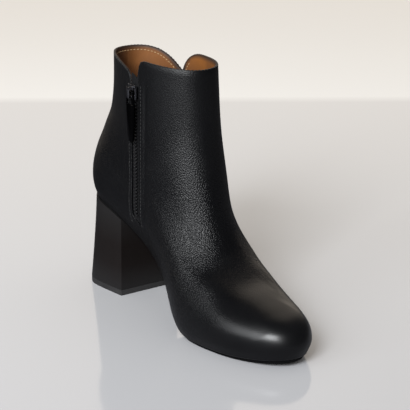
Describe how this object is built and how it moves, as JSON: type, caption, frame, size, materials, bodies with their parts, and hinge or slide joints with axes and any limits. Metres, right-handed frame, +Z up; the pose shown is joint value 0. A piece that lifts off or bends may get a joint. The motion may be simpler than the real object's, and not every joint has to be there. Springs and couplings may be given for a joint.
{
  "type": "ankle boot",
  "caption": "Left ankle boot in black leather with a rounded toe, a tall block heel and an inner-side zip, open at a collar that is notched on both sides.",
  "frame": {"origin": "middle of the bounding box on the floor, the plane on which heel tip and tread stand", "axes": "+Z up, the toe towards -Y, the outer side of the foot towards +X"},
  "size_m": [0.0802, 0.2465, 0.1938],
  "materials": {
    "upper_leather": "fine grain, semi-gloss",
    "insole_leather": "smooth, satin",
    "sole_rubber": "matt",
    "heel_cover": "smooth, satin",
    "tip_rubber": "matt",
    "zip_cloth": "woven",
    "zip_nylon": "satin",
    "slider_metal": "dark, satin",
    "pull_metal": "black, satin"
  },
  "bodies": {
    "boot": {"upper": "upper_leather", "insole": "insole_leather", "outsole": "sole_rubber", "heel": "heel_cover", "heel_tip": "tip_rubber", "zip_tape": "zip_cloth", "zip_teeth": "zip_nylon", "zip_slider": "slider_metal"},
    "pull": {"zip_pull": "pull_metal"}
  },
  "joints": [
    {"name": "pull_swing", "type": "hinge", "parent": "boot", "child": "pull", "pos_m": [-0.03084, 0.04163, 0.16999], "axis": [-0.0284, 0.9996, 0], "range_deg": [-3, 160]}
  ]
}
